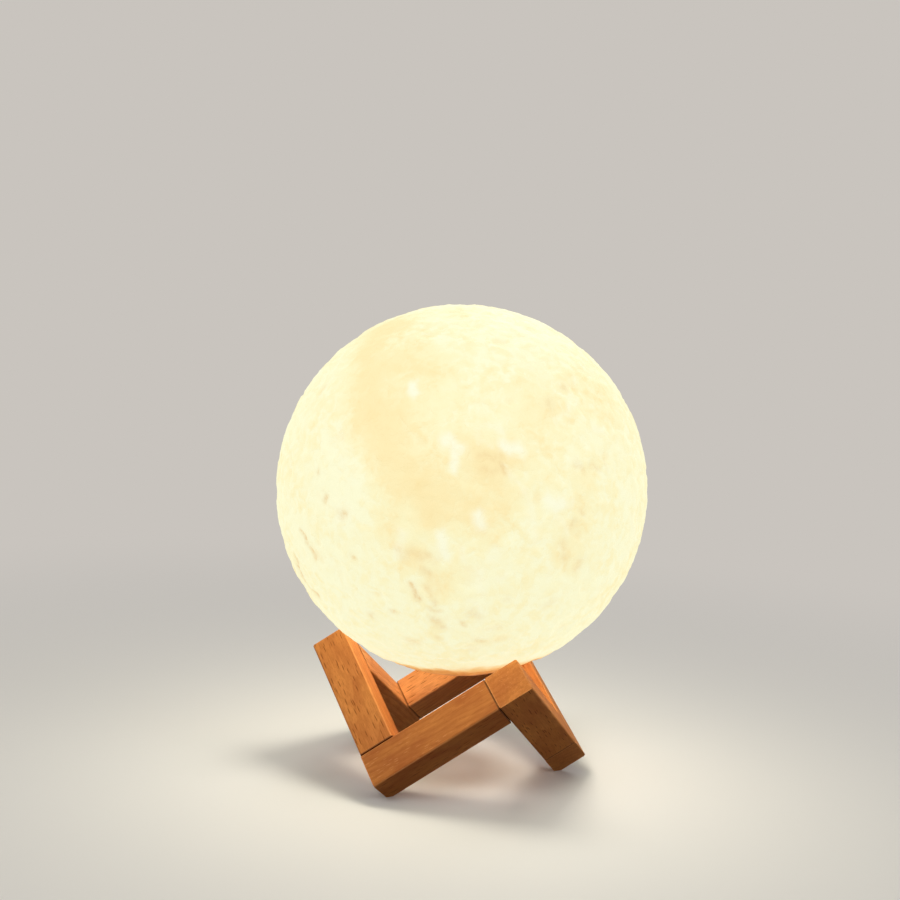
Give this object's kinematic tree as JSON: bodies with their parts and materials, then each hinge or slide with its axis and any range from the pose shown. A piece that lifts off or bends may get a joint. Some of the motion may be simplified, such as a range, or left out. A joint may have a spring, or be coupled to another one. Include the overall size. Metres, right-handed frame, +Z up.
{
  "type": "moon lamp",
  "caption": "Glowing printed moon globe resting on a folding stand of square wooden bars strung on an elastic cord.",
  "frame": {"origin": "on the ground under the globe's centre, midway between the stand's three feet", "axes": "+Z up along the globe's axis; -X towards the peak where the ring of bars comes open; -Y towards the viewer in the picture"},
  "size_m": [0.15, 0.15, 0.1903],
  "materials": {
    "beech": "oiled, fine sanded",
    "elastic_cord": "braided",
    "sleeve_metal": "satin",
    "moon_print": "printed, matt, translucent",
    "white_plastic": "fine texture",
    "screw_steel": "zinc plated",
    "green_board": "solder mask",
    "black_plastic": "moulded",
    "pin_brass": "plated",
    "clear_lens": "clear",
    "button_plastic": "smooth",
    "cell_foil": "foil pouch",
    "foam_tape": "foam",
    "red_lead": "insulation",
    "white_lead": "insulation",
    "white_board": "solder mask",
    "diode_phosphor": "phosphor",
    "frosted_plastic": "frosted"
  },
  "bodies": {
    "segment_1": {"bar_1": "beech", "cord_1": "elastic_cord", "cord_sleeve": "sleeve_metal"},
    "segment_2": {"bar_2": "beech", "cord_2": "elastic_cord"},
    "segment_3": {"bar_3": "beech", "cord_3": "elastic_cord"},
    "segment_4": {"bar_4": "beech", "cord_4": "elastic_cord"},
    "segment_5": {"bar_5": "beech", "cord_5": "elastic_cord"},
    "segment_6": {"bar_6": "beech", "cord_6": "elastic_cord"},
    "globe": {"globe_shell": "moon_print", "neck_ring": "white_plastic", "base_housing": "white_plastic", "base_cover": "white_plastic", "cover_screws": "screw_steel", "control_board": "green_board", "board_parts": "black_plastic", "board_screws": "screw_steel", "charge_socket": "black_plastic", "charge_pin": "pin_brass", "charge_lens": "clear_lens", "switch_body": "black_plastic", "battery": "cell_foil", "battery_tape": "foam_tape", "battery_leads": "red_lead", "light_leads": "white_lead", "light_post": "white_plastic", "light_board": "white_board", "light_diodes": "diode_phosphor", "light_diffuser": "frosted_plastic"},
    "button": {"button_cap": "button_plastic", "switch_plunger": "button_plastic"}
  },
  "joints": [
    {"name": "swivel_1_2", "type": "hinge", "parent": "segment_1", "child": "segment_2", "pos_m": [-0.02286, -0.0396, 0.01106], "axis": [-0.4082, 0.7071, 0.5774], "range_deg": [0, 90]},
    {"name": "stand_unfold", "type": "hinge", "parent": "segment_2", "child": "segment_3", "pos_m": [0.02286, -0.0396, 0.04339], "axis": [-0.8165, 0, -0.5774], "range_deg": [0, 90]},
    {"name": "swivel_3_4", "type": "hinge", "parent": "segment_3", "child": "segment_4", "pos_m": [0.04572, 0, 0.01106], "axis": [0.4082, 0.7071, -0.5774], "range_deg": [0, 90]},
    {"name": "swivel_4_5", "type": "hinge", "parent": "segment_4", "child": "segment_5", "pos_m": [0.02286, 0.0396, 0.04339], "axis": [0.4082, -0.7071, -0.5774], "range_deg": [0, 90]},
    {"name": "swivel_5_6", "type": "hinge", "parent": "segment_5", "child": "segment_6", "pos_m": [-0.02286, 0.0396, 0.01106], "axis": [-0.8165, 0, -0.5774], "range_deg": [0, 90]},
    {"name": "globe_lift", "type": "slide", "parent": "segment_1", "child": "globe", "axis": [0, 0, 1], "range_m": [0, 0.15]},
    {"name": "button_press", "type": "slide", "parent": "globe", "child": "button", "axis": [0, 0, 1], "range_m": [0, 0.0005], "stiffness_N_per_m": 3000, "springref_m": -0.0002}
  ],
  "couplings": [
    {"joint": "swivel_1_2", "follows": "stand_unfold", "ratio": 1},
    {"joint": "swivel_3_4", "follows": "stand_unfold", "ratio": 1},
    {"joint": "swivel_4_5", "follows": "stand_unfold", "ratio": 1},
    {"joint": "swivel_5_6", "follows": "stand_unfold", "ratio": 1}
  ]
}
